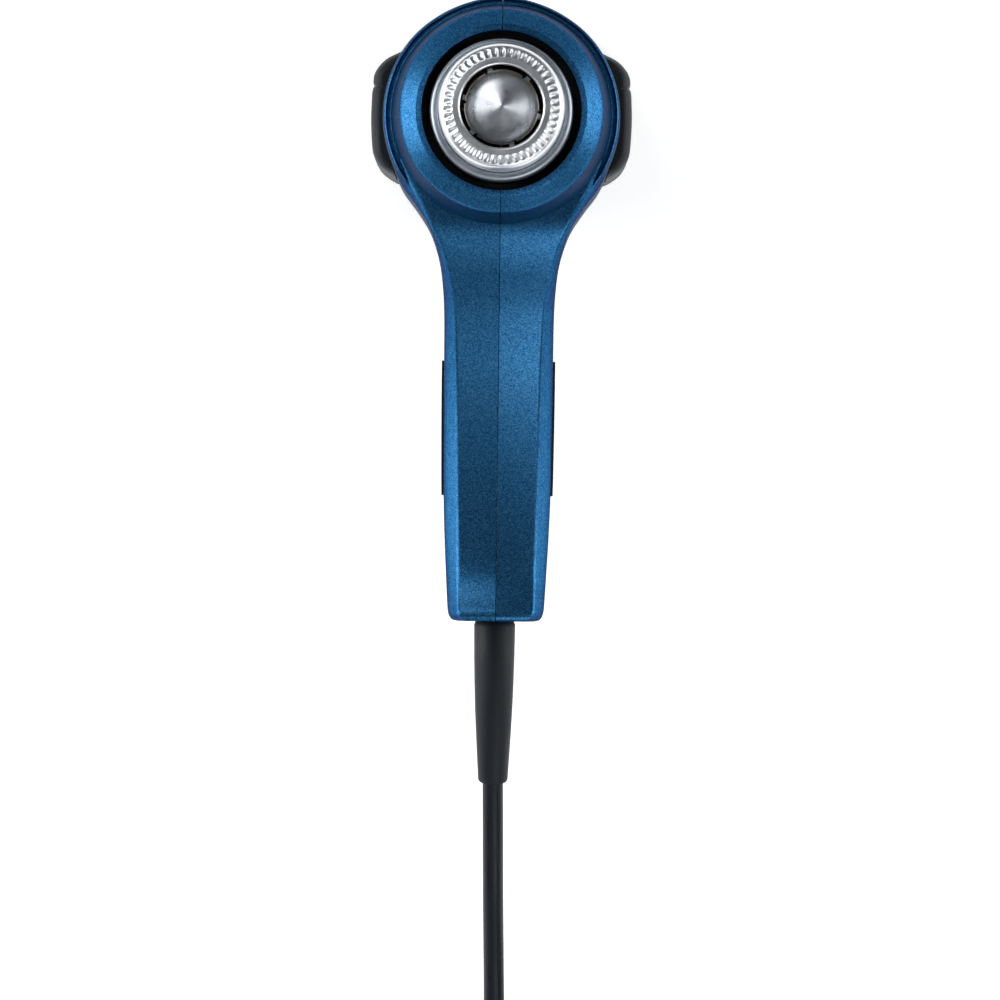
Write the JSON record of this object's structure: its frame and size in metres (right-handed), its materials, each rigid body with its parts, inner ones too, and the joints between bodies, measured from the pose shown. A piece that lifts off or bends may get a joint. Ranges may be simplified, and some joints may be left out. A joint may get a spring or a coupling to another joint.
{
  "type": "heat gun",
  "caption": "Corded hot-air gun with a pistol grip, conical collar, round fluted steel nozzle, soft side pads, a slide switch behind the grip and a coiled mains cord.",
  "frame": {"origin": "on the nozzle's axis, in the plane that the gun's rear end stands on", "axes": "+Z along the nozzle, the way the air leaves; the handle points along -Y; X is sideways"},
  "size_m": [0.1536, 0.4868, 0.195],
  "materials": {
    "blue_shell": "satin metallic blue lacquer on moulded plastic",
    "black_plastic": "fine matt",
    "black_rubber": "matt, soft touch",
    "stainless_steel": "satin pressed sheet",
    "zinc_steel": "zinc plated",
    "mica": "satin",
    "ceramic": "matt",
    "heater_wire": "oxidised",
    "motor_steel": "satin",
    "circuit_board": "satin",
    "capacitor_case": "gloss",
    "lead_brown": "satin",
    "lead_blue": "satin",
    "cord_rubber": "matt",
    "nickel_brass": "nickel plated"
  },
  "bodies": {
    "body": {"housing_left": "blue_shell", "housing_right": "blue_shell", "collar_baffle": "black_plastic", "rear_grille": "black_plastic", "rear_rest_ring": "black_rubber", "side_pad_left": "black_rubber", "side_pad_right": "black_rubber", "grip_left": "black_rubber", "grip_right": "black_rubber", "housing_screw_1": "zinc_steel", "housing_screw_2": "zinc_steel", "housing_screw_3": "zinc_steel", "housing_screw_4": "zinc_steel", "nozzle_jacket": "stainless_steel", "nozzle_tube": "stainless_steel", "deflector_disc": "stainless_steel", "mica_sleeve": "mica", "mica_former": "mica", "heater_coil": "heater_wire", "heater_base": "ceramic", "former_post": "zinc_steel", "motor_can": "motor_steel", "motor_carrier": "black_plastic", "rectifier_board": "circuit_board", "capacitor": "capacitor_case", "bridge_rectifier": "black_plastic", "switch_body": "black_plastic", "lead_live": "lead_brown", "lead_neutral": "lead_blue", "motor_lead_live": "lead_brown", "motor_lead_neutral": "lead_blue", "cord_tail": "cord_rubber", "cord_clamp": "black_plastic", "clamp_screw_1": "zinc_steel", "clamp_screw_2": "zinc_steel", "strain_relief": "black_rubber", "power_cord": "cord_rubber", "cord_coil": "cord_rubber", "coil_tie": "black_plastic", "plug_body": "black_rubber", "plug_pin_left": "nickel_brass", "plug_pin_right": "nickel_brass"},
    "rotor": {"fan_impeller": "black_plastic", "motor_shaft": "zinc_steel"},
    "slider": {"switch_slider": "black_plastic"}
  },
  "joints": [
    {"name": "fan_spin", "type": "hinge", "parent": "body", "child": "rotor", "pos_m": [0, 0, 0.03], "axis": [0, 0, 1], "continuous": true},
    {"name": "switch_slide", "type": "slide", "parent": "body", "child": "slider", "axis": [0, 1, 0], "range_m": [0, 0.008]}
  ]
}
